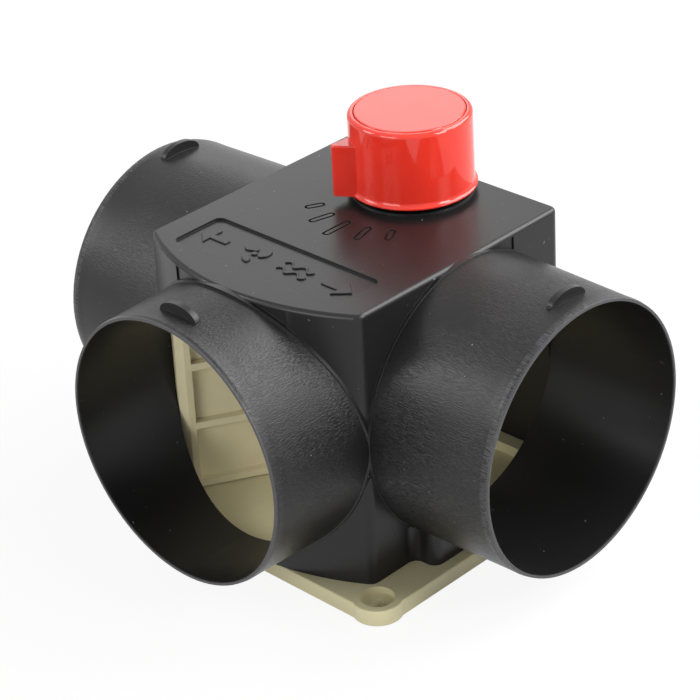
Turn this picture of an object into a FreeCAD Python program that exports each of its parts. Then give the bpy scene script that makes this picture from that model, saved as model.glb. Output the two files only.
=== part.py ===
"""Three-way duct diverter valve, in millimetres.

The origin is on the underside of the base plate, in the middle of its four screw holes.
+Z is up, -Y points out of the front spigot and +X out of the right one.
The valve spindle stands upright at (0, PIVOT_Y), and the front wall is an arc about it.
"""
import FreeCAD, Part
import math
import os

V = FreeCAD.Vector
UP = V(0, 0, 1)
CENTRE = V(0, 0, 0)

# How far a solid reaches into the one it is joined to, and the tolerance for finding an edge
SINK = 1.0
NEAR = 0.05

# Spigots
SPIGOT_Z = 59.0
MOUTH_R = 49.0
ROOT_R = 50.1
BORE_MOUTH_R = 47.7
BORE_ROOT_R = 47.4
SIDE_REACH = 100.0
FRONT_REACH = 92.4
MOUTH_BAND = 6.0
LEAD_IN_LENGTH = 1.6
LEAD_IN_DEPTH = 0.35
COLLAR_R = 50.5
COLLAR_STEP = 1.0
TAB_SETBACK = 7.8
TAB_THICKNESS = 2.2
TAB_HALF_WIDTH = 8.6
TAB_TOP_R = 52.7

# Housing
WALL = 2.5
HALF_WIDTH = 49.5
REAR_Y = 48.8
PIVOT_Y = 28.8
FRONT_ARC_R = 93.5
PLATE_TOP = 109.5
REAR_CORNER_R = 3.2
FRONT_CORNER_R = 4.0
TOP_EDGE_R = 1.5
PAD_DEPTH = 0.5
PAD_HALF_WIDTH_SIDE = 23.0
SIDE_SHIFT = 1.8
PAD_HALF_WIDTH_FRONT = 26.0
PAD_BOTTOM = 96.0
PAD_TOP = 107.9
WEB_HALF = 1.5
WEB_GAP = 0.4
PIVOT = V(0, PIVOT_Y, 0)
BORE_START = 46.0
TUBE_START = 45.0
SCREW_HOLE_SPARE = 0.4

# Feet of the housing, under the side spigots
FOOT_X = 58.8
FOOT_HALF_LENGTH = 30.0
FOOT_TOP = 20.0
FOOT_CORNER_R = 4.0
FOOT_INNER_R = 3.5

# Marks and panel on the top plate
PANEL_HALF_WIDTH = 38.4
PANEL_REAR_Y = -28.5
PANEL_FRONT_Y = -51.1
PANEL_CORNER_R = 3.0
PANEL_DEPTH = 0.9
MARK_STEP = 15.0
MARK_INNER_R = 32.0
MARK_LENGTHS = (7.4, 10.4, 13.0, 10.4, 8.0)
MARK_WIDTH = 3.0
MARK_GROOVE = 0.8
MARK_DEPTH = 0.7
SEAT_R = 21.7
SEAT_HEIGHT = 0.7

# Spindle and its bearings
JOURNAL_R = 6.0
STUB_R = 5.0
RUNNING_GAP = 0.05
BOSS_R = 11.0
BOSS_TOP = 114.0
SPINDLE_TOP = 131.4
DRIVE_R = 5.6
DRIVE_HALF_FLAT = 4.2
DRIVE_GAP = 0.04
GROOVE_R = 4.6
GROOVE_BOTTOM = 109.6
GROOVE_TOP = 111.6
RING_SECTION_R = 0.7
RING_GAP = 0.01
STUB_END_GAP = 0.3
JOURNAL_STEP = 0.4
DRIVE_SPARE = 0.2

# Flap, drawn pointing along -Y from the pivot and turned to REST_ANGLE
REST_ANGLE = -30.0
BLADE_R = 90.4
BLADE_BACK = -1.2
BLADE_FACE = 0.6
RIB_FACE = 3.6
FLAP_BOTTOM = 7.0
FLAP_TOP = 106.0
HUB_R = 7.5
HUB_TOP = 106.9
RIB_COUNT = 5
RIB_THICKNESS = 2.8
END_FRAME_WIDTH = 5.3
END_CHAMFER_LENGTH = 3.0
END_CHAMFER_DEPTH = 1.8

# Base plate
BASE_HALF = 63.0
BASE_THICKNESS = 5.8
BASE_CORNER_R = 8.0
BASE_EDGE_R = 0.5
LUG_R = 8.8
HOLE_SPACING = 110.0
HOLE_R = 2.35
HEAD_POCKET_R = 5.9
HEAD_POCKET_DEPTH = 2.6
FLOOR_TOP = 6.4
FLOOR_GAP = 0.25
LEDGE_TOP = 10.5
LEDGE_FRONT_Y = 40.3
LEDGE_HALF = 40.0
SKIN = 2.6
RIM = 2.4
GRID_RIB = 1.6
GRID_STEP = 21.0
SOCKET_BOTTOM = 2.2
SOCKET_BOSS_R = 8.5
WEB_SLOT_GAP = 0.3

# Screws
SCREW_CLEARANCE = 0.3
SCREW_BOSS_WALL = 2.0
HEAD_SIDE_SHARE = 0.5
HEAD_TOP_SHARE = 0.75
RECESS_ARM_SHARE = 0.55
RECESS_HALF = 0.4
RECESS_FLOOR_SHARE = 0.4

# Screws that hold the base plate
BASE_SCREW_X = 54.2
BASE_SCREW_Y = 24.0
BASE_SCREW_R = 1.6
BASE_SCREW_TOP = 13.6
BASE_SCREW_HEAD_R = 3.2
BASE_SCREW_HEAD = 2.0
BASE_SCREW_SEAT = 2.6
THREAD_GAP = 0.02

# Knob
KNOB_BOTTOM = 112.2
KNOB_TOP = 140.0
KNOB_FOOT_R = 22.9
KNOB_FOOT_EDGE = 0.5
KNOB_FLARE_TOP = 114.6
FLARE_RADIUS_SHARE = 0.3
FLARE_HEIGHT_SHARE = 0.35
KNOB_BODY_R = 21.9
KNOB_TOP_R = 21.8
KNOB_EDGE_R = 1.4
KNOB_WALL = 2.0
KNOB_DECK = 135.8
CAP_R = 19.5
CAP_SEAT = 137.9
CAP_TOP = 140.3
CAP_GAP = 0.3
CAP_EDGE = 0.4
PLUG_DEPTH = 0.9
PLUG_WALL = 1.3
KNOB_HUB_R = 9.0
KNOB_HUB_BOTTOM = 115.2
KNOB_RIB = 1.5
KNOB_RIB_BOTTOM = 121.0
KNOB_RIB_COUNT = 6
SCREW_POCKET_R = 6.0
SCREW_POCKET_FLOOR = 133.6
POINTER_REACH = 28.8
POINTER_TIP_R = 1.2
POINTER_HALF_ANGLE = 27.0
POINTER_TOP = 131.5
POINTER_EDGE_R = 0.5

# Knob screw, washer and wave spring
KNOB_SCREW_R = 2.0
KNOB_SCREW_BOTTOM = 121.0
KNOB_SCREW_HEAD_R = 3.8
KNOB_SCREW_HEAD = 2.4
WASHER_R = 5.0
WASHER_THICKNESS = 0.8
WASHER_CLEARANCE = 0.2
SPRING_INNER_R = 6.7
SPRING_OUTER_R = 9.0
SPRING_THICKNESS = 0.5
SPRING_WAVES = 3


def box(x0, x1, y0, y1, z0, z1):
    return Part.makeBox(x1 - x0, y1 - y0, z1 - z0, V(x0, y0, z0))


def rod(radius, z0, z1, x=0.0, y=0.0):
    return Part.makeCylinder(radius, z1 - z0, V(x, y, z0), UP)


def edges_at(shape, x, y):
    """Upright edges that stand at x, y."""
    found = []
    for edge in shape.Edges:
        middle = edge.CenterOfMass
        flat = edge.BoundBox.XLength + edge.BoundBox.YLength
        if flat < NEAR and abs(middle.x - x) < NEAR and abs(middle.y - y) < NEAR:
            found.append(edge)
    return found


def turned_profile(points):
    """Solid of revolution about Z from (radius, height) points."""
    corners = [V(radius, 0, height) for radius, height in points]
    face = Part.Face(Part.makePolygon(corners + [corners[0]]))
    return face.revolve(CENTRE, UP, 360)


def slot(half_length, half_width, depth):
    """Round-ended bar along Y, centred on the origin, downward from z = 0."""
    straight = half_length - half_width
    bar = box(-half_width, half_width, -straight, straight, -depth, 0)
    for y in (-straight, straight):
        bar = bar.fuse(rod(half_width, -depth, 0, 0, y))
    return bar.removeSplitter()


def corner_y(half_width, arc_r):
    """Where the front arc meets a side wall."""
    return PIVOT_Y - math.sqrt(arc_r ** 2 - half_width ** 2)


def outline_block(grow, z0, z1):
    """Block with the housing's plan outline, grown outward by the given amount."""
    half = HALF_WIDTH + grow
    rear = REAR_Y + grow
    arc_r = FRONT_ARC_R + grow
    front = corner_y(half, arc_r)
    left_rear = V(-half, rear, z0)
    right_rear = V(half, rear, z0)
    left_front = V(-half, front, z0)
    right_front = V(half, front, z0)
    arc = Part.Arc(left_front, V(0, PIVOT_Y - arc_r, z0), right_front).toShape()
    sides = [
        Part.makeLine(right_front, right_rear),
        Part.makeLine(right_rear, left_rear),
        Part.makeLine(left_rear, left_front),
    ]
    block = Part.Face(Part.Wire([arc] + sides)).extrude(V(0, 0, z1 - z0))
    corners = (
        (half, rear, REAR_CORNER_R + grow),
        (-half, rear, REAR_CORNER_R + grow),
        (half, front, FRONT_CORNER_R + grow),
        (-half, front, FRONT_CORNER_R + grow),
    )
    for x, y, radius in corners:
        block = block.makeFillet(radius, edges_at(block, x, y))
    return block


def toward(shape, turn):
    """Lay an upright solid along +X at spigot height, then turn it about Z."""
    placed = shape.copy()
    placed.rotate(CENTRE, V(0, 1, 0), 90)
    placed.rotate(CENTRE, UP, turn)
    placed.translate(V(0, 0, SPIGOT_Z))
    return placed


def spigot_tube(reach):
    return turned_profile([
        (0, TUBE_START),
        (ROOT_R, TUBE_START),
        (ROOT_R, HALF_WIDTH),
        (MOUTH_R, reach - MOUTH_BAND),
        (MOUTH_R, reach - LEAD_IN_LENGTH),
        (MOUTH_R - LEAD_IN_DEPTH, reach),
        (0, reach),
    ])


def spigot_bore(reach):
    return turned_profile([
        (0, BORE_START),
        (BORE_ROOT_R, BORE_START),
        (BORE_ROOT_R, HALF_WIDTH),
        (BORE_MOUTH_R, reach),
        (0, reach),
    ])


def stop_tab(reach):
    """Half-moon tab on top of a spigot, which stops the duct."""
    near = reach - TAB_SETBACK - TAB_THICKNESS
    base_r = math.sqrt(MOUTH_R ** 2 - TAB_HALF_WIDTH ** 2)
    side = V(-base_r, TAB_HALF_WIDTH, near)
    crown = V(-TAB_TOP_R, 0, near)
    curve = Part.Ellipse(side, crown, V(-base_r, 0, near))
    tab = Part.Face(Part.Wire([curve.toShape()])).extrude(V(0, 0, TAB_THICKNESS))
    return tab.cut(rod(MOUTH_R - SINK / 2, near, near + TAB_THICKNESS))


# Each spigot: how far its mouth stands out, its direction and where its tab and pad sit across it
SPIGOTS = ((SIDE_REACH, 0, SIDE_SHIFT), (SIDE_REACH, 180, SIDE_SHIFT), (FRONT_REACH, -90, 0))


def housing_shell():
    """Outer block with feet, before the spigots are added."""
    block = outline_block(0, BASE_THICKNESS, PLATE_TOP)
    top_edges = [edge for edge in block.Edges if edge.BoundBox.ZMin > PLATE_TOP - NEAR]
    block = block.makeFillet(TOP_EDGE_R, top_edges)
    for side in (-1, 1):
        inner = side * (HALF_WIDTH - SINK)
        outer = side * FOOT_X
        foot = box(min(inner, outer), max(inner, outer),
                   -FOOT_HALF_LENGTH, FOOT_HALF_LENGTH, BASE_THICKNESS, FOOT_TOP)
        for end in (-FOOT_HALF_LENGTH, FOOT_HALF_LENGTH):
            foot = foot.makeFillet(FOOT_CORNER_R, edges_at(foot, outer, end))
        block = block.fuse(foot)
        for end in (-FOOT_HALF_LENGTH, FOOT_HALF_LENGTH):
            block = block.makeFillet(FOOT_INNER_R, edges_at(block, side * HALF_WIDTH, end))
    return block


def wall_pads():
    """Shallow recesses in the walls above the three spigots."""
    pads = []
    for side in (-1, 1):
        inner = side * (HALF_WIDTH - PAD_DEPTH)
        outer = side * (HALF_WIDTH + SINK)
        pads.append(box(min(inner, outer), max(inner, outer),
                        SIDE_SHIFT - PAD_HALF_WIDTH_SIDE, SIDE_SHIFT + PAD_HALF_WIDTH_SIDE,
                        PAD_BOTTOM, PAD_TOP))
    front = box(-PAD_HALF_WIDTH_FRONT, PAD_HALF_WIDTH_FRONT,
                PIVOT_Y - FRONT_ARC_R - SINK, -HALF_WIDTH, PAD_BOTTOM, PAD_TOP)
    pads.append(front.cut(rod(FRONT_ARC_R - PAD_DEPTH, PAD_BOTTOM, PAD_TOP, 0, PIVOT_Y)))
    return pads


def top_plate_cuts():
    """Recessed panel and the grooves round the five position marks."""
    panel = box(-PANEL_HALF_WIDTH, PANEL_HALF_WIDTH, PANEL_FRONT_Y, PANEL_REAR_Y,
                PLATE_TOP - PANEL_DEPTH, PLATE_TOP + SINK)
    for x in (-PANEL_HALF_WIDTH, PANEL_HALF_WIDTH):
        for y in (PANEL_FRONT_Y, PANEL_REAR_Y):
            panel = panel.makeFillet(PANEL_CORNER_R, edges_at(panel, x, y))
    cuts = [panel]
    middle = (len(MARK_LENGTHS) - 1) / 2
    for index, length in enumerate(MARK_LENGTHS):
        mark = slot(length / 2, MARK_WIDTH / 2, MARK_DEPTH)
        mark = mark.cut(slot(length / 2 - MARK_GROOVE, MARK_WIDTH / 2 - MARK_GROOVE, MARK_DEPTH))
        mark.translate(V(0, -MARK_INNER_R - length / 2, PLATE_TOP))
        mark.rotate(CENTRE, UP, (index - middle) * MARK_STEP)
        mark.translate(PIVOT)
        cuts.append(mark)
    return cuts


def make_housing():
    body = housing_shell()
    for pad in wall_pads():
        body = body.cut(pad)
    collar_block = outline_block(COLLAR_STEP, BASE_THICKNESS, PLATE_TOP + COLLAR_STEP)
    for reach, turn, tab_shift in SPIGOTS:
        collar = toward(rod(COLLAR_R, TUBE_START, SIDE_REACH), turn).common(collar_block)
        tab = toward(stop_tab(reach), turn)
        tab.rotate(V(0, 0, SPIGOT_Z), V(1, 0, 0), -math.degrees(tab_shift / MOUTH_R))
        body = body.fuse([collar, toward(spigot_tube(reach), turn), tab])
    seat = rod(SEAT_R, PLATE_TOP - SINK, PLATE_TOP + SEAT_HEIGHT, 0, PIVOT_Y)
    seat = seat.common(outline_block(-TOP_EDGE_R, PLATE_TOP - SINK, PLATE_TOP + SEAT_HEIGHT))
    boss = rod(BOSS_R, PLATE_TOP - SINK, BOSS_TOP, 0, PIVOT_Y)
    body = body.fuse([seat, boss])
    body = body.cut(outline_block(-WALL, BASE_THICKNESS, PLATE_TOP - WALL))
    for reach, turn, _ in SPIGOTS:
        body = body.cut(toward(spigot_bore(reach), turn))
    web = box(-WEB_HALF, WEB_HALF, PIVOT_Y, REAR_Y - SINK, BASE_THICKNESS, PLATE_TOP - SINK)
    web = web.cut(rod(HUB_R + WEB_GAP, BASE_THICKNESS, PLATE_TOP - WALL, 0, PIVOT_Y))
    body = body.fuse(web)
    cuts = top_plate_cuts()
    cuts.append(rod(JOURNAL_R + RUNNING_GAP, PLATE_TOP - WALL - SINK, BOSS_TOP + SINK, 0, PIVOT_Y))
    for x, y in base_screw_places():
        cuts.append(rod(BASE_SCREW_R + THREAD_GAP, BASE_THICKNESS - SINK, BASE_SCREW_TOP + SCREW_HOLE_SPARE,
                        x, y))
    for cut in cuts:
        body = body.cut(cut)
    return body.removeSplitter()


def base_screw_places():
    return [(x, y) for x in (-BASE_SCREW_X, BASE_SCREW_X) for y in (-BASE_SCREW_Y, BASE_SCREW_Y)]


def mounting_places():
    half = HOLE_SPACING / 2
    return [(x, y) for x in (-half, half) for y in (-half, half)]


def underside_hollow():
    """Pocket moulded under the base plate, with its ribs and bosses left standing."""
    depth = BASE_THICKNESS - SKIN
    inner = BASE_HALF - RIM
    hollow = box(-inner, inner, -inner, inner, 0, depth)
    lines = [step * GRID_STEP for step in range(-2, 3)]
    ribs = []
    for place in lines:
        ribs.append(box(place - GRID_RIB / 2, place + GRID_RIB / 2, -inner, inner, 0, depth))
        ribs.append(box(-inner, inner, place - GRID_RIB / 2, place + GRID_RIB / 2, 0, depth))
    ribs.extend(rod(LUG_R, 0, depth, x, y) for x, y in mounting_places())
    ribs.extend(rod(BASE_SCREW_HEAD_R + SCREW_BOSS_WALL, 0, depth, x, y) for x, y in base_screw_places())
    ribs.append(rod(SOCKET_BOSS_R, 0, depth, 0, PIVOT_Y))
    return hollow.cut(ribs)


def make_base_plate():
    plate = box(-BASE_HALF, BASE_HALF, -BASE_HALF, BASE_HALF, 0, BASE_THICKNESS)
    for x in (-BASE_HALF, BASE_HALF):
        for y in (-BASE_HALF, BASE_HALF):
            plate = plate.makeFillet(BASE_CORNER_R, edges_at(plate, x, y))
    lugs = [rod(LUG_R, 0, BASE_THICKNESS, x, y) for x, y in mounting_places()]
    plate = plate.fuse(lugs).removeSplitter()
    top_rim = [edge for edge in plate.Edges if edge.BoundBox.ZMin > BASE_THICKNESS - NEAR]
    plate = plate.makeFillet(BASE_EDGE_R, top_rim)
    floor = outline_block(-WALL - FLOOR_GAP, BASE_THICKNESS - SINK, FLOOR_TOP)
    ledge = box(-LEDGE_HALF, LEDGE_HALF, LEDGE_FRONT_Y, REAR_Y - WALL - FLOOR_GAP,
                BASE_THICKNESS - SINK, LEDGE_TOP)
    plate = plate.fuse([floor, ledge])
    slot_half = WEB_HALF + WEB_SLOT_GAP
    web_slot = box(-slot_half, slot_half, PIVOT_Y + HUB_R, REAR_Y, BASE_THICKNESS, LEDGE_TOP)
    plate = plate.cut([underside_hollow(), web_slot])
    plate = plate.cut(rod(STUB_R + RUNNING_GAP, SOCKET_BOTTOM, FLOOR_TOP, 0, PIVOT_Y))
    for x, y in mounting_places():
        plate = plate.cut(rod(HOLE_R, 0, BASE_THICKNESS, x, y))
        plate = plate.cut(rod(HEAD_POCKET_R, BASE_THICKNESS - HEAD_POCKET_DEPTH, BASE_THICKNESS, x, y))
    for x, y in base_screw_places():
        plate = plate.cut(rod(BASE_SCREW_R + SCREW_CLEARANCE, 0, BASE_THICKNESS, x, y))
        plate = plate.cut(rod(BASE_SCREW_HEAD_R + SCREW_CLEARANCE, 0, BASE_SCREW_SEAT, x, y))
    return plate.removeSplitter()


def drive_section(radius, half_flat, z0, z1):
    """Round bar with two flats, which turns the spindle with the knob."""
    return rod(radius, z0, z1).common(box(-half_flat, half_flat, -radius, radius, z0, z1))


def make_flap():
    blade = box(BLADE_BACK, BLADE_FACE, -BLADE_R, 0, FLAP_BOTTOM, FLAP_TOP)
    pieces = [
        box(BLADE_BACK, RIB_FACE, -BLADE_R, -BLADE_R + END_FRAME_WIDTH, FLAP_BOTTOM, FLAP_TOP),
        rod(HUB_R, FLAP_BOTTOM, HUB_TOP),
        rod(STUB_R, SOCKET_BOTTOM + STUB_END_GAP, FLAP_BOTTOM),
        rod(JOURNAL_R, HUB_TOP, BOSS_TOP + JOURNAL_STEP),
        drive_section(DRIVE_R, DRIVE_HALF_FLAT, BOSS_TOP, SPINDLE_TOP),
    ]
    rib_step = (FLAP_TOP - FLAP_BOTTOM - RIB_THICKNESS) / (RIB_COUNT - 1)
    for index in range(RIB_COUNT):
        bottom = FLAP_BOTTOM + index * rib_step
        pieces.append(box(BLADE_BACK, RIB_FACE, -BLADE_R + SINK, 0, bottom, bottom + RIB_THICKNESS))
    flap = blade.fuse(pieces)
    tip = [
        V(RIB_FACE - END_CHAMFER_DEPTH, -BLADE_R - NEAR, 0),
        V(RIB_FACE + NEAR, -BLADE_R - NEAR, 0),
        V(RIB_FACE + NEAR, -BLADE_R + END_CHAMFER_LENGTH, 0),
        V(RIB_FACE - END_CHAMFER_DEPTH, -BLADE_R - NEAR, 0),
    ]
    flap = flap.cut(Part.Face(Part.makePolygon(tip)).extrude(V(0, 0, PLATE_TOP)))
    groove = rod(JOURNAL_R + SINK, GROOVE_BOTTOM, GROOVE_TOP)
    groove = groove.cut(rod(GROOVE_R, GROOVE_BOTTOM, GROOVE_TOP))
    pilot = rod(KNOB_SCREW_R + THREAD_GAP, KNOB_SCREW_BOTTOM - SCREW_HOLE_SPARE, SPINDLE_TOP)
    flap = flap.cut([groove, pilot]).removeSplitter()
    return at_rest(flap)


def at_rest(shape):
    """Turn a piece drawn about the Z axis to the rest angle and move it to the pivot."""
    placed = shape.copy()
    placed.rotate(CENTRE, UP, REST_ANGLE)
    placed.translate(PIVOT)
    return placed


def pointer_fin():
    """Wedge with a round tip that points along -Y."""
    half = math.radians(POINTER_HALF_ANGLE)
    tip_y = -POINTER_REACH + POINTER_TIP_R
    touch_x = POINTER_TIP_R * math.cos(half)
    touch_y = tip_y - POINTER_TIP_R * math.sin(half)
    root_x = touch_x + (-touch_y - KNOB_TOP_R + KNOB_WALL) * math.tan(half)
    root_y = -KNOB_TOP_R + KNOB_WALL
    left = V(-touch_x, touch_y, KNOB_BOTTOM)
    right = V(touch_x, touch_y, KNOB_BOTTOM)
    left_root = V(-root_x, root_y, KNOB_BOTTOM)
    right_root = V(root_x, root_y, KNOB_BOTTOM)
    tip = Part.Arc(left, V(0, -POINTER_REACH, KNOB_BOTTOM), right).toShape()
    wire = Part.Wire([
        tip,
        Part.makeLine(right, right_root),
        Part.makeLine(right_root, left_root),
        Part.makeLine(left_root, left),
    ])
    fin = Part.Face(wire).extrude(V(0, 0, POINTER_TOP - KNOB_BOTTOM))
    top_edges = [
        edge for edge in fin.Edges
        if edge.BoundBox.ZMin > POINTER_TOP - NEAR and edge.CenterOfMass.y < root_y - NEAR
    ]
    return fin.makeFillet(POINTER_EDGE_R, top_edges)


def knob_skirt():
    """Outside of the knob: a slight taper above a foot that flares out in a hollow curve."""
    foot_edge = V(KNOB_FOOT_R, 0, KNOB_BOTTOM + KNOB_FOOT_EDGE)
    flare_end = V(KNOB_BODY_R, 0, KNOB_FLARE_TOP)
    flare_middle = V(
        KNOB_BODY_R + (KNOB_FOOT_R - KNOB_BODY_R) * FLARE_RADIUS_SHARE,
        0,
        foot_edge.z + (KNOB_FLARE_TOP - foot_edge.z) * FLARE_HEIGHT_SHARE,
    )
    outline = Part.Wire([
        Part.makeLine(V(0, 0, KNOB_BOTTOM), V(KNOB_FOOT_R, 0, KNOB_BOTTOM)),
        Part.makeLine(V(KNOB_FOOT_R, 0, KNOB_BOTTOM), foot_edge),
        Part.Arc(foot_edge, flare_middle, flare_end).toShape(),
        Part.makeLine(flare_end, V(KNOB_TOP_R, 0, KNOB_TOP)),
        Part.makeLine(V(KNOB_TOP_R, 0, KNOB_TOP), V(0, 0, KNOB_TOP)),
        Part.makeLine(V(0, 0, KNOB_TOP), V(0, 0, KNOB_BOTTOM)),
    ])
    skirt = Part.Face(outline).revolve(CENTRE, UP, 360)
    rim = [edge for edge in skirt.Edges if edge.BoundBox.ZMin > KNOB_TOP - NEAR]
    return skirt.makeFillet(KNOB_EDGE_R, rim)


def make_knob():
    skirt = knob_skirt()
    knob = skirt.fuse(pointer_fin())
    knob = knob.cut(turned_profile([
        (0, KNOB_BOTTOM),
        (KNOB_BODY_R - KNOB_WALL, KNOB_BOTTOM),
        (KNOB_TOP_R - KNOB_WALL, KNOB_DECK),
        (0, KNOB_DECK),
    ]))
    inside = [rod(KNOB_HUB_R, KNOB_HUB_BOTTOM, KNOB_DECK + SINK / 2)]
    for index in range(KNOB_RIB_COUNT):
        rib = box(KNOB_HUB_R - SINK, KNOB_TOP_R - SINK, -KNOB_RIB / 2, KNOB_RIB / 2,
                  KNOB_RIB_BOTTOM, KNOB_DECK + SINK / 2)
        rib.rotate(CENTRE, UP, index * 360 / KNOB_RIB_COUNT)
        inside.append(rib)
    knob = knob.fuse(inside)
    knob = knob.cut([
        rod(CAP_R + CAP_GAP, CAP_SEAT, KNOB_TOP + SINK),
        rod(SCREW_POCKET_R, SCREW_POCKET_FLOOR, CAP_SEAT),
        rod(KNOB_SCREW_R + SCREW_CLEARANCE, SPINDLE_TOP, SCREW_POCKET_FLOOR),
        drive_section(DRIVE_R + DRIVE_GAP, DRIVE_HALF_FLAT + DRIVE_GAP,
                      KNOB_HUB_BOTTOM, SPINDLE_TOP + DRIVE_SPARE),
    ])
    return at_rest(knob.removeSplitter())


def make_knob_cap():
    disc = turned_profile([
        (0, CAP_SEAT),
        (CAP_R, CAP_SEAT),
        (CAP_R, CAP_TOP - CAP_EDGE),
        (CAP_R - CAP_EDGE / 3, CAP_TOP - CAP_EDGE / 3),
        (CAP_R - CAP_EDGE, CAP_TOP),
        (0, CAP_TOP),
    ])
    plug = rod(SCREW_POCKET_R - RUNNING_GAP, CAP_SEAT - PLUG_DEPTH, CAP_SEAT)
    plug = plug.cut(rod(SCREW_POCKET_R - PLUG_WALL, CAP_SEAT - PLUG_DEPTH, CAP_SEAT))
    return at_rest(disc.fuse(plug))


def screw(shank_r, shank_length, head_r, head_height):
    """Pan-head screw with its head on z = 0, shank down, and a cross recess."""
    body = turned_profile([
        (0, -shank_length),
        (shank_r, -shank_length),
        (shank_r, 0),
        (head_r, 0),
        (head_r, head_height * HEAD_SIDE_SHARE),
        (head_r * HEAD_TOP_SHARE, head_height),
        (0, head_height),
    ])
    arm = head_r * RECESS_ARM_SHARE
    floor = head_height * RECESS_FLOOR_SHARE
    for reach_x, reach_y in ((arm, RECESS_HALF), (RECESS_HALF, arm)):
        body = body.cut(box(-reach_x, reach_x, -reach_y, reach_y, floor, head_height))
    return body


def make_knob_screw():
    seat = SCREW_POCKET_FLOOR + WASHER_THICKNESS
    piece = screw(KNOB_SCREW_R, seat - KNOB_SCREW_BOTTOM, KNOB_SCREW_HEAD_R, KNOB_SCREW_HEAD)
    piece.translate(V(0, 0, seat))
    return at_rest(piece)


def make_knob_washer():
    disc = rod(WASHER_R, SCREW_POCKET_FLOOR, SCREW_POCKET_FLOOR + WASHER_THICKNESS)
    hole = rod(KNOB_SCREW_R + WASHER_CLEARANCE, SCREW_POCKET_FLOOR, SCREW_POCKET_FLOOR + WASHER_THICKNESS)
    return at_rest(disc.cut(hole))


def wave_edge(radius, middle_z, swing):
    """Closed smooth curve that rises and falls round a circle."""
    count = 8 * SPRING_WAVES
    points = []
    for index in range(count):
        angle = 2 * math.pi * index / count
        height = middle_z + swing * math.cos(SPRING_WAVES * angle)
        points.append(V(radius * math.cos(angle), radius * math.sin(angle), height))
    curve = Part.BSplineCurve()
    curve.interpolate(points, PeriodicFlag=True)
    return curve.toShape()


def make_friction_spring():
    gap = KNOB_HUB_BOTTOM - BOSS_TOP
    swing = (gap - SPRING_THICKNESS) / 2
    low_middle = BOSS_TOP + swing
    sheet = Part.makeRuledSurface(
        wave_edge(SPRING_INNER_R, low_middle, swing),
        wave_edge(SPRING_OUTER_R, low_middle, swing),
    )
    return at_rest(sheet.extrude(V(0, 0, SPRING_THICKNESS)))


def make_spindle_o_ring():
    ring = Part.makeTorus(GROOVE_R + RING_SECTION_R + RING_GAP, RING_SECTION_R)
    ring.translate(V(0, 0, GROOVE_BOTTOM + RING_SECTION_R))
    return at_rest(ring)


def make_base_screws():
    screws = []
    for x, y in base_screw_places():
        piece = screw(BASE_SCREW_R, BASE_SCREW_TOP - BASE_SCREW_SEAT, BASE_SCREW_HEAD_R, BASE_SCREW_HEAD)
        piece.rotate(CENTRE, V(1, 0, 0), 180)
        piece.translate(V(x, y, BASE_SCREW_SEAT))
        screws.append(piece)
    return Part.makeCompound(screws)


NODES = {
    "housing": make_housing,
    "base_plate": make_base_plate,
    "base_screws": make_base_screws,
    "flap": make_flap,
    "spindle_o_ring": make_spindle_o_ring,
    "friction_spring": make_friction_spring,
    "knob": make_knob,
    "knob_washer": make_knob_washer,
    "knob_screw": make_knob_screw,
    "knob_cap": make_knob_cap,
}

os.makedirs("parts", exist_ok=True)
for node, make in NODES.items():
    shape = make()
    shape.exportStep("parts/" + node + ".step")
    print(node, shape.isValid(), len(shape.Solids), round(shape.Volume / 1000, 2), "cm3")
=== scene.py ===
"""Looks of the duct diverter valve: surface materials, raised signs, studio and camera.

Lengths are in metres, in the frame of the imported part: +Z is up, the two side spigots lie along X,
and the front spigot points along -Y. The scale of a noise is its number of bumps a metre along X, Y
and Z, and its band is the part of its range over which its effect comes in.
"""
import bmesh
import bpy
import math
from mathutils import Matrix, Vector


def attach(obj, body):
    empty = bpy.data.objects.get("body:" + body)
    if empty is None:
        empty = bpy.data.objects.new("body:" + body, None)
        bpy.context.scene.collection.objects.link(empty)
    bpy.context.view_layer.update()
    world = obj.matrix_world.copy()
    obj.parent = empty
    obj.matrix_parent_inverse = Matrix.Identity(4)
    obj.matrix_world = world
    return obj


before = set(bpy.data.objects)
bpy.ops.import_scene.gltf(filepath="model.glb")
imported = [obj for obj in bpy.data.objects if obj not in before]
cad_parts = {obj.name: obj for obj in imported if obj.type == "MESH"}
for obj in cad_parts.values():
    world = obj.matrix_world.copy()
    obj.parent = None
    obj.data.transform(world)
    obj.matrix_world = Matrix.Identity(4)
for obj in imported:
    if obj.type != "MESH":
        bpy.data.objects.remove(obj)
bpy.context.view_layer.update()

# Camera as fitted to the photograph, with its angles in radians
IMAGE_PX = 700
SENSOR_WIDTH_MM = 36.0
FOCAL_PX = 2592.8
CENTRE_X_PX = 267.5
CENTRE_Y_PX = 280.8
CAMERA_TURN = 0.8233
CAMERA_RISE = 0.4885
CAMERA_ROLL = -0.0732
CAMERA_DISTANCE = 0.94125
CAMERA_TARGET = Vector((-0.0472, 0.0, 0.06915))

# Part sizes that the materials and the signs refer to
SPIGOT_START = 0.0510
SPIGOT_Z = 0.059
OUTSIDE_LEAST_R = 0.0485
OUTSIDE_MOST_R = 0.0503
PLATE_TOP = 0.1095
PANEL_DEPTH = 0.0009
PANEL_MIDDLE_Y = -0.0398

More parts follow.
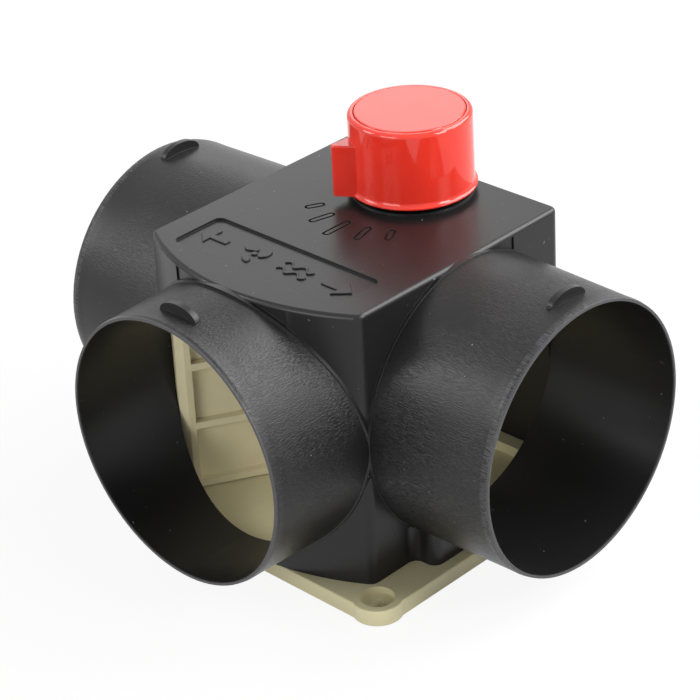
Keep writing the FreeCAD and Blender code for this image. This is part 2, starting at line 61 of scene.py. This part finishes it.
# Raised signs on the panel, with the angles of a fan blade in radians
SIGN_HEIGHT = 0.0005
SIGN_EDGE = 0.00012
SIGN_EDGE_STEPS = 2
SIGN_STEP = 0.0195
ARROW_HALF_LENGTH = 0.0065
ARROW_HALF_WIDTH = 0.0048
ARROW_HEAD = 0.0055
ARROW_SHAFT_HALF = 0.0013
FAN_R = 0.0062
FAN_HUB_R = 0.0011
FAN_BLADES = 3
FAN_STEPS = 16
BLADE_ROOT_R = FAN_HUB_R * 1.5
BLADE_HALF_ANGLE = 0.55
BLADE_TIP_HALF_ANGLE = 0.04
BLADE_SWEEP = 0.8
BLADE_FULLNESS = 0.7
WAVE_LENGTH = 0.0065
WAVE_RISE = 0.0012
WAVE_HALF_WIDTH = 0.00055
WAVE_ROWS = (-0.0022, 0.0022)
WAVE_STEPS = 24

# Studio: each lamp has its azimuth and elevation in degrees, distance, size, and power in watts
LAMPS = {
    "right_box": (157, 43, 1.2, (1.1, 0.8), 19.5),
    "left_box": (-43, 31, 1.2, (0.4, 0.6), 4.4),
    "rear_box": (-134, 25, 1.5, (0.45, 0.35), 0.75),
    "front_fill": (4, 16, 1.5, (0.8, 0.8), 8.5),
    "side_fill": (104, 34, 1.5, (0.5, 0.5), 12.5),
}
AMBIENT_LEVEL = 0.40
FLOOR_REACH = 4.0
FLOOR_DROP = 0.0002
FLOOR_ROUGHNESS = 0.9
WHITE_SHARE = 0.90

# Colours
BLACK = (0.009, 0.009, 0.0094)
# Pale colour of scuff marks and specks, also painted as highlight round the spigot mouths
SCUFF_AND_HIGHLIGHT = (0.16, 0.16, 0.17)
BEIGE = (0.62, 0.57, 0.355)
BEIGE_SHADE = (0.56, 0.51, 0.31)
FLAP_BEIGE = (0.72, 0.65, 0.42)
FLAP_SHADE = (0.66, 0.59, 0.37)
RED = (0.76, 0.032, 0.016)
RED_SHADE = (0.70, 0.027, 0.013)
SCREW_STEEL = (0.62, 0.62, 0.64)
SPRING_STEEL = (0.50, 0.50, 0.52)
STEEL_SHADE_SHARE = 0.8
RUBBER = (0.02, 0.02, 0.02)
RUBBER_SHADE = (0.035, 0.035, 0.035)
FLOOR_PAPER = (0.80, 0.80, 0.79)

# All finishes: a band that takes in nearly the whole of a noise, and the samples of a rounded edge
WIDE_BAND = (0.3, 0.7)
EDGE_SAMPLES = 4

# Spigots: a 1 for each axis across them, where their mouths are, the drag strokes of their skin, and
# the dashes of painted highlight round their mouths
SIDE_SPIGOTS = {
    "across": (0, 1, 1),
    "mouth": 0.100,
    "stroke_scale": (420, 3100, 3100),
    "stroke_range": (0.0, 1.0),
    "dash_scale": (150, 3000, 3000),
    "dash_range": (0.0, 1.0),
}
FRONT_SPIGOT = {
    "across": (1, 0, 1),
    "mouth": 0.0924,
    "stroke_scale": (3100, 650, 3100),
    "stroke_range": (0.0, 0.70),
    "dash_scale": (3000, 150, 3000),
    "dash_range": (0.0, 0.35),
}

# Black moulding: drag strokes in patches, deeper to the right, over an even grain
BLACK_ROUGHNESS = 0.34
BLACK_IOR = 1.40
BLACK_EDGE_R = 0.00022
STROKE_DEPTH = 0.000085
STROKE_BAND = (0.44, 0.66)
LEFT_TO_RIGHT_RANGE = (0.45, 1.3)
PATCHES = (28, 28, 28)
PATCH_BAND = (0.36, 0.56)
PATCH_RANGE = (0.25, 1.0)
BLACK_GRAIN = (900, 900, 900)
GRAIN_SHARE = 0.21
STROKE_ROUGHNESS = (0.33, 0.42)

# Black moulding: a band round each spigot mouth with dashes of painted highlight, a pale mouth edge
# that is partly wear and partly painted highlight, and pale specks
RIM_BAND = 0.0030
WEAR_AND_HIGHLIGHT_EDGE = 0.0006
WEAR_AND_HIGHLIGHT_EDGE_SHARE = 0.26
DASH_BAND = (0.40, 0.60)
DASH_SHARE = 0.25
SPECKS = (900, 900, 900)
SPECK_BAND = (0.868, 0.89)
SCUFF_AND_HIGHLIGHT_ROUGHNESS = 0.2

# Beige mouldings
BEIGE_EDGE_R = 0.0004
BEIGE_GRAIN_DEPTH = 0.00004
BEIGE_GRAIN = (1400, 1400, 1400)
BEIGE_CLOUDS = (60, 60, 60)
BEIGE_CLOUD_BAND = (0.35, 0.75)
BEIGE_GLOSS = (300, 300, 300)
BEIGE_SMOOTHER = 0.05
BEIGE_ROUGHER = 0.08

# Red mouldings
RED_IOR = 1.52
RED_EDGE_R = 0.0003
RED_WAVE_DEPTH = 0.00004
RED_WAVES = (110, 110, 60)
RED_SWIRL = (90, 90, 40)
RED_GLOSS = (500, 500, 500)
RED_GLOSS_BAND = (0.35, 0.70)
RED_ROUGHER = 0.04

# Steel and rubber
TURNED_LINE_DEPTH = 0.00002
TURNED_LINES = (200, 200, 6000)
STEEL_CLOUDS = (400, 400, 400)
STEEL_ROUGHER = 0.15
RUBBER_ROUGHNESS = 0.6
RUBBER_GRAIN_DEPTH = 0.00003
RUBBER_GRAIN = (2500, 2500, 2500)
RUBBER_CLOUDS = (800, 800, 800)


def add_node(tree, kind, **settings):
    """New shader node with the given settings."""
    node = tree.nodes.new(kind)
    for key, value in settings.items():
        setattr(node, key, value)
    return node


def add_object(name, data):
    """New object in the scene."""
    thing = bpy.data.objects.new(name, data)
    bpy.context.scene.collection.objects.link(thing)
    return thing


class Surface:
    """A material under construction, with short calls for the nodes that it uses."""

    def __init__(self, name, colour, roughness):
        self.material = bpy.data.materials.new(name)
        self.material.use_nodes = True
        self.tree = self.material.node_tree
        self.shader = self.tree.nodes["Principled BSDF"]
        self.shader.inputs["Base Color"].default_value = (*colour, 1)
        self.shader.inputs["Roughness"].default_value = roughness
        self.place = self.add("ShaderNodeTexCoord").outputs["Object"]

    def add(self, kind, **settings):
        """New node in the material."""
        return add_node(self.tree, kind, **settings)

    def join(self, source, socket):
        """Link from an output to an input."""
        self.tree.links.new(source, socket)

    def calc(self, operation, first, second=0.0):
        """Result of a Math node on two sockets or numbers."""
        node = self.add("ShaderNodeMath", operation=operation)
        for socket, value in zip(node.inputs, (first, second)):
            if isinstance(value, (int, float)):
                socket.default_value = value
            else:
                self.join(value, socket)
        return node.outputs[0]

    def product(self, first, *others):
        """Product of sockets or numbers."""
        for other in others:
            first = self.calc("MULTIPLY", first, other)
        return first

    def noise(self, scale, detail=2.0):
        """Noise with the given bumps a metre along each axis."""
        stretch = self.add("ShaderNodeMapping")
        stretch.inputs["Scale"].default_value = scale
        self.join(self.place, stretch.inputs["Vector"])
        grain = self.add("ShaderNodeTexNoise")
        grain.inputs["Scale"].default_value = 1.0
        grain.inputs["Detail"].default_value = detail
        self.join(stretch.outputs["Vector"], grain.inputs["Vector"])
        return grain.outputs["Fac"]

    def ramp(self, source, band, result=(0.0, 1.0)):
        """Linear change over the range of the result while source goes through the band."""
        node = self.add("ShaderNodeMapRange")
        for socket, value in zip(node.inputs[1:5], (*band, *result)):
            socket.default_value = value
        self.join(source, node.inputs["Value"])
        return node.outputs["Result"]

    def tint(self, share, first, second):
        """Base colour that goes from first to second with the share."""
        node = self.add("ShaderNodeMix", data_type="RGBA")
        node.inputs["A"].default_value = (*first, 1)
        node.inputs["B"].default_value = (*second, 1)
        self.join(share, node.inputs["Factor"])
        self.join(node.outputs["Result"], self.shader.inputs["Base Color"])

    def gloss(self, roughness):
        """Roughness from a socket."""
        self.join(roughness, self.shader.inputs["Roughness"])

    def relief(self, height, depth, rounding=0.0):
        """Bump of the given depth, over edges rounded to look moulded."""
        bump = self.add("ShaderNodeBump")
        bump.inputs["Strength"].default_value = 1.0
        bump.inputs["Distance"].default_value = depth
        self.join(height, bump.inputs["Height"])
        if rounding:
            bevel = self.add("ShaderNodeBevel", samples=EDGE_SAMPLES)
            bevel.inputs["Radius"].default_value = rounding
            self.join(bevel.outputs["Normal"], bump.inputs["Normal"])
        self.join(bump.outputs["Normal"], self.shader.inputs["Normal"])


def spigot_skin(s, out, across):
    """Socket that is 1 on the outside of a spigot, and 0 in its bore and on plates and tabs."""
    middle = s.add("ShaderNodeMapping")
    middle.inputs["Scale"].default_value = across
    middle.inputs["Location"].default_value = (0, 0, -SPIGOT_Z)
    s.join(s.place, middle.inputs["Vector"])
    length = s.add("ShaderNodeVectorMath", operation="LENGTH")
    s.join(middle.outputs["Vector"], length.inputs[0])
    radius = length.outputs["Value"]
    return s.product(
        s.calc("GREATER_THAN", out, SPIGOT_START),
        s.calc("GREATER_THAN", radius, OUTSIDE_LEAST_R),
        s.calc("LESS_THAN", radius, OUTSIDE_MOST_R),
    )


def spigot_wear_and_highlights(s, out, across, mouth, stroke_scale, stroke_range, dash_scale, dash_range):
    """Strokes on the outside of a spigot, dashes of painted highlight round its mouth, and the edge
    of the mouth, pale with wear and painted highlight.

    The socket out is the distance from the middle of the part along the spigot.
    """
    skin = spigot_skin(s, out, across)
    strokes = s.ramp(s.noise(stroke_scale, detail=1.0), STROKE_BAND, stroke_range)
    # Dashes of painted highlight in the band round the mouth
    dashes = s.ramp(s.noise(dash_scale, detail=0.0), DASH_BAND, dash_range)
    rim = s.product(s.calc("GREATER_THAN", out, mouth - RIM_BAND), skin)
    # Pale mouth edge: partly wear, partly painted highlight
    edge = s.calc("GREATER_THAN", out, mouth - WEAR_AND_HIGHLIGHT_EDGE)
    return s.product(strokes, skin), s.product(dashes, rim), edge


def black_plastic():
    """Semi-gloss black, with short drag strokes outside the spigots, and mouths made paler by
    painted highlight and wear.
    """
    s = Surface("black_plastic", BLACK, BLACK_ROUGHNESS)
    s.shader.inputs["IOR"].default_value = BLACK_IOR
    split = s.add("ShaderNodeSeparateXYZ")
    s.join(s.place, split.inputs["Vector"])
    x, y = split.outputs["X"], split.outputs["Y"]
    side_strokes, side_dashes, side_edge = spigot_wear_and_highlights(s, s.calc("ABSOLUTE", x), **SIDE_SPIGOTS)
    front_strokes, front_dashes, front_edge = spigot_wear_and_highlights(s, s.product(y, -1.0), **FRONT_SPIGOT)

    left_to_right = s.ramp(x, (-SPIGOT_START, SPIGOT_START), LEFT_TO_RIGHT_RANGE)
    patches = s.ramp(s.noise(PATCHES, detail=1.0), PATCH_BAND, PATCH_RANGE)
    strokes = s.product(
        s.calc("ADD", s.product(side_strokes, left_to_right), front_strokes), patches)
    grain = s.product(s.noise(BLACK_GRAIN, detail=4.0), GRAIN_SHARE)
    s.relief(s.calc("ADD", strokes, grain), STROKE_DEPTH, BLACK_EDGE_R)

    # Painted highlight: pale dashes round the spigot mouths
    dashes = s.product(s.calc("ADD", side_dashes, front_dashes), DASH_SHARE)
    # Mouth edges: partly wear, partly painted highlight
    edges = s.product(s.calc("MAXIMUM", side_edge, front_edge), WEAR_AND_HIGHLIGHT_EDGE_SHARE)
    specks = s.ramp(s.noise(SPECKS, detail=0.0), SPECK_BAND)
    # Pale tint from the painted highlight and wear at the mouths, and from real specks
    scuffs_and_highlights = s.calc("MAXIMUM", s.calc("MAXIMUM", dashes, edges), specks)
    s.tint(scuffs_and_highlights, BLACK, SCUFF_AND_HIGHLIGHT)
    s.gloss(s.calc("ADD", s.ramp(strokes, (0.0, 1.0), STROKE_ROUGHNESS),
                   s.product(scuffs_and_highlights, SCUFF_AND_HIGHLIGHT_ROUGHNESS)))
    return s.material


def beige_plastic(name, colour, shade, roughness):
    """Satin moulding with a fine even grain and a little dirt in its colour."""
    s = Surface(name, colour, roughness)
    s.tint(s.ramp(s.noise(BEIGE_CLOUDS, detail=3.0), BEIGE_CLOUD_BAND), colour, shade)
    s.relief(s.noise(BEIGE_GRAIN, detail=3.0), BEIGE_GRAIN_DEPTH, BEIGE_EDGE_R)
    s.gloss(s.ramp(s.noise(BEIGE_GLOSS), WIDE_BAND,
                   (roughness - BEIGE_SMOOTHER, roughness + BEIGE_ROUGHER)))
    return s.material


def red_plastic(name, roughness):
    """Glossy moulding with a faint swirl in its colour and slight waves in its face."""
    s = Surface(name, RED, roughness)
    s.shader.inputs["IOR"].default_value = RED_IOR
    s.tint(s.ramp(s.noise(RED_SWIRL, detail=3.0), WIDE_BAND), RED, RED_SHADE)
    s.relief(s.noise(RED_WAVES, detail=1.0), RED_WAVE_DEPTH, RED_EDGE_R)
    s.gloss(s.ramp(s.noise(RED_GLOSS, detail=3.0), RED_GLOSS_BAND,
                   (roughness, roughness + RED_ROUGHER)))
    return s.material


def steel(name, colour, roughness):
    """Plated steel with fine turned lines."""
    s = Surface(name, colour, roughness)
    s.shader.inputs["Metallic"].default_value = 1.0
    lines = s.noise(TURNED_LINES)
    s.relief(lines, TURNED_LINE_DEPTH)
    s.gloss(s.ramp(lines, WIDE_BAND, (roughness, roughness + STEEL_ROUGHER)))
    s.tint(s.noise(STEEL_CLOUDS), colour, tuple(STEEL_SHADE_SHARE * part for part in colour))
    return s.material


def rubber():
    """Dull black rubber."""
    s = Surface("ring_rubber", RUBBER, RUBBER_ROUGHNESS)
    s.tint(s.noise(RUBBER_CLOUDS), RUBBER, RUBBER_SHADE)
    s.relief(s.noise(RUBBER_GRAIN), RUBBER_GRAIN_DEPTH)
    return s.material


def dress_nodes():
    """Give each solid of the part its material."""
    screw_steel = steel("screw_steel", SCREW_STEEL, roughness=0.28)
    finishes = {
        "housing": black_plastic(),
        "base_plate": beige_plastic("beige_plastic", BEIGE, BEIGE_SHADE, roughness=0.45),
        "flap": beige_plastic("flap_plastic", FLAP_BEIGE, FLAP_SHADE, roughness=0.42),
        "knob": red_plastic("red_plastic", roughness=0.04),
        "knob_cap": red_plastic("red_cap_plastic", roughness=0.14),
        "knob_screw": screw_steel,
        "knob_washer": screw_steel,
        "base_screws": screw_steel,
        "friction_spring": steel("spring_steel", SPRING_STEEL, roughness=0.35),
        "spindle_o_ring": rubber(),
    }
    for node, material in finishes.items():
        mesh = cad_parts[node].data
        mesh.materials.clear()
        mesh.materials.append(material)
    return finishes


def polar(radius, angle):
    """Point at the given radius and angle."""
    return radius * math.cos(angle), radius * math.sin(angle)


def arrow(direction):
    """Outline of an arrow along X; direction is 1 for right and -1 for left."""
    tip = ARROW_HALF_LENGTH
    neck = tip - ARROW_HEAD
    half = [(-tip, ARROW_SHAFT_HALF), (neck, ARROW_SHAFT_HALF), (neck, ARROW_HALF_WIDTH),
            (tip, 0.0)]
    mirror = [(x, -y) for x, y in reversed(half[:-1])]
    return [[(direction * x, y) for x, y in half + mirror]]


def fan():
    """Outlines of a hub and its swept blades."""
    outlines = [[polar(FAN_HUB_R, 2 * math.pi * k / FAN_STEPS) for k in range(FAN_STEPS)]]
    for blade in range(FAN_BLADES):
        start = 2 * math.pi * blade / FAN_BLADES
        leading, trailing = [], []
        for k in range(FAN_STEPS + 1):
            share = k / FAN_STEPS
            radius = BLADE_ROOT_R + (FAN_R - BLADE_ROOT_R) * share
            bulge = math.sin(math.pi * share ** BLADE_FULLNESS)
            spread = BLADE_HALF_ANGLE * bulge + BLADE_TIP_HALF_ANGLE
            middle = start + BLADE_SWEEP * share
            leading.append(polar(radius, middle + spread))
            trailing.append(polar(radius, middle - spread))
        outlines.append(trailing + leading[::-1])
    return outlines


def waves():
    """Outlines of wavy bands of moving air."""
    outlines = []
    for row in WAVE_ROWS:
        middle = []
        for k in range(WAVE_STEPS + 1):
            x = -WAVE_LENGTH + 2 * WAVE_LENGTH * k / WAVE_STEPS
            middle.append((x, row + WAVE_RISE * math.sin(2 * math.pi * x / WAVE_LENGTH)))
        upper = [(x, y + WAVE_HALF_WIDTH) for x, y in middle]
        lower = [(x, y - WAVE_HALF_WIDTH) for x, y in middle]
        outlines.append(lower + upper[::-1])
    return outlines


def raised_sign(name, place, outlines, material):
    """Low sign moulded on the floor of the panel, with softened edges."""
    build = bmesh.new()
    bottom = PLATE_TOP - PANEL_DEPTH
    for outline in outlines:
        ring = [build.verts.new((place + x, PANEL_MIDDLE_Y + y, bottom)) for x, y in outline]
        face = build.faces.new(ring)
        face.normal_update()
        if face.normal.z < 0:
            face.normal_flip()
        raised = bmesh.ops.extrude_face_region(build, geom=[face])
        top = [part for part in raised["geom"] if isinstance(part, bmesh.types.BMVert)]
        bmesh.ops.translate(build, verts=top, vec=(0, 0, SIGN_HEIGHT))
        edges = [edge for edge in build.edges if all(v in top for v in edge.verts)]
        bmesh.ops.bevel(build, geom=edges, offset=SIGN_EDGE, segments=SIGN_EDGE_STEPS,
                        affect="EDGES")
    bmesh.ops.recalc_face_normals(build, faces=build.faces)
    mesh = bpy.data.meshes.new(name)
    build.to_mesh(mesh)
    build.free()
    mesh.materials.append(material)
    sign = add_object(name, mesh)
    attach(sign, "valve_body")


def panel_signs(material):
    """Plain signs for the way the air goes, in a row on the panel."""
    signs = {"sign_left": arrow(-1), "sign_fan": fan(), "sign_air": waves(), "sign_right": arrow(1)}
    middle = (len(signs) - 1) / 2
    for index, (name, outlines) in enumerate(signs.items()):
        raised_sign(name, (index - middle) * SIGN_STEP, outlines, material)


def lamp(name, azimuth, elevation, distance, size, power):
    """Soft rectangular lamp aimed at the part, placed by its direction from it."""
    turn, rise = math.radians(azimuth), math.radians(elevation)
    out = Vector((math.sin(turn) * math.cos(rise), -math.cos(turn) * math.cos(rise),
                  math.sin(rise)))
    data = bpy.data.lights.new(name, "AREA")
    data.shape = "RECTANGLE"
    data.size, data.size_y = size
    data.energy = power
    light = add_object(name, data)
    light.location = Vector((0, 0, SPIGOT_Z)) + out * distance
    light.rotation_mode = "QUATERNION"
    light.rotation_quaternion = (-out).to_track_quat("-Z", "Y")


def white_rays(tree):
    """Socket that is 1 for the rays that show the background, and 0 for the light on the part."""
    path = add_node(tree, "ShaderNodeLightPath")
    shown = path.outputs["Is Camera Ray"]
    for kind in ("Is Glossy Ray", "Is Transmission Ray"):
        either = add_node(tree, "ShaderNodeMath", operation="MAXIMUM")
        tree.links.new(shown, either.inputs[0])
        tree.links.new(path.outputs[kind], either.inputs[1])
        shown = either.outputs[0]
    return shown


def studio_world():
    """White wherever the background shows, and a soft even light on the part."""
    world = bpy.data.worlds.new("studio_world")
    bpy.context.scene.world = world
    world.use_nodes = True
    tree = world.node_tree
    level = add_node(tree, "ShaderNodeMapRange")
    level.inputs["To Min"].default_value = AMBIENT_LEVEL
    level.inputs["To Max"].default_value = 1.0
    tree.links.new(white_rays(tree), level.inputs["Value"])
    tree.links.new(level.outputs["Result"], tree.nodes["Background"].inputs["Strength"])
    tree.nodes["Background"].inputs["Color"].default_value = (1, 1, 1, 1)


def floor():
    """Wide pale floor that stays white to the camera and keeps the part's shadow."""
    mesh = bpy.data.meshes.new("floor")
    build = bmesh.new()
    bmesh.ops.create_grid(build, x_segments=1, y_segments=1, size=FLOOR_REACH)
    build.to_mesh(mesh)
    build.free()
    plane = add_object("floor", mesh)
    plane.location.z = -FLOOR_DROP
    material = bpy.data.materials.new("floor_paper")
    material.use_nodes = True
    tree = material.node_tree
    paper = tree.nodes["Principled BSDF"]
    paper.inputs["Base Color"].default_value = (*FLOOR_PAPER, 1)
    paper.inputs["Roughness"].default_value = FLOOR_ROUGHNESS
    white = add_node(tree, "ShaderNodeEmission")
    white.inputs["Strength"].default_value = 1.0
    share = add_node(tree, "ShaderNodeMath", operation="MULTIPLY")
    share.inputs[1].default_value = WHITE_SHARE
    blend = add_node(tree, "ShaderNodeMixShader")
    tree.links.new(white_rays(tree), share.inputs[0])
    tree.links.new(share.outputs[0], blend.inputs["Fac"])
    tree.links.new(paper.outputs["BSDF"], blend.inputs[1])
    tree.links.new(white.outputs["Emission"], blend.inputs[2])
    tree.links.new(blend.outputs["Shader"], tree.nodes["Material Output"].inputs["Surface"])
    mesh.materials.append(material)


def camera():
    """Camera at the photograph's viewpoint, with the photograph's framing."""
    back = Vector((
        math.sin(CAMERA_TURN) * math.cos(CAMERA_RISE),
        -math.cos(CAMERA_TURN) * math.cos(CAMERA_RISE),
        math.sin(CAMERA_RISE),
    ))
    level = Vector((math.cos(CAMERA_TURN), math.sin(CAMERA_TURN), 0))
    rise = back.cross(level)
    right = level * math.cos(CAMERA_ROLL) + rise * math.sin(CAMERA_ROLL)
    up = rise * math.cos(CAMERA_ROLL) - level * math.sin(CAMERA_ROLL)
    data = bpy.data.cameras.new("camera")
    data.sensor_width = SENSOR_WIDTH_MM
    data.lens = FOCAL_PX / IMAGE_PX * SENSOR_WIDTH_MM
    data.shift_x = (IMAGE_PX / 2 - CENTRE_X_PX) / IMAGE_PX
    data.shift_y = (CENTRE_Y_PX - IMAGE_PX / 2) / IMAGE_PX
    view = add_object("camera", data)
    turn = Matrix((right, up, back)).transposed().to_4x4()
    view.matrix_world = Matrix.Translation(CAMERA_TARGET + back * CAMERA_DISTANCE) @ turn
    bpy.context.scene.camera = view


finishes = dress_nodes()
panel_signs(finishes["housing"])
studio_world()
for name, settings in LAMPS.items():
    lamp(name, *settings)
floor()
camera()
bpy.context.scene.view_settings.view_transform = "Standard"
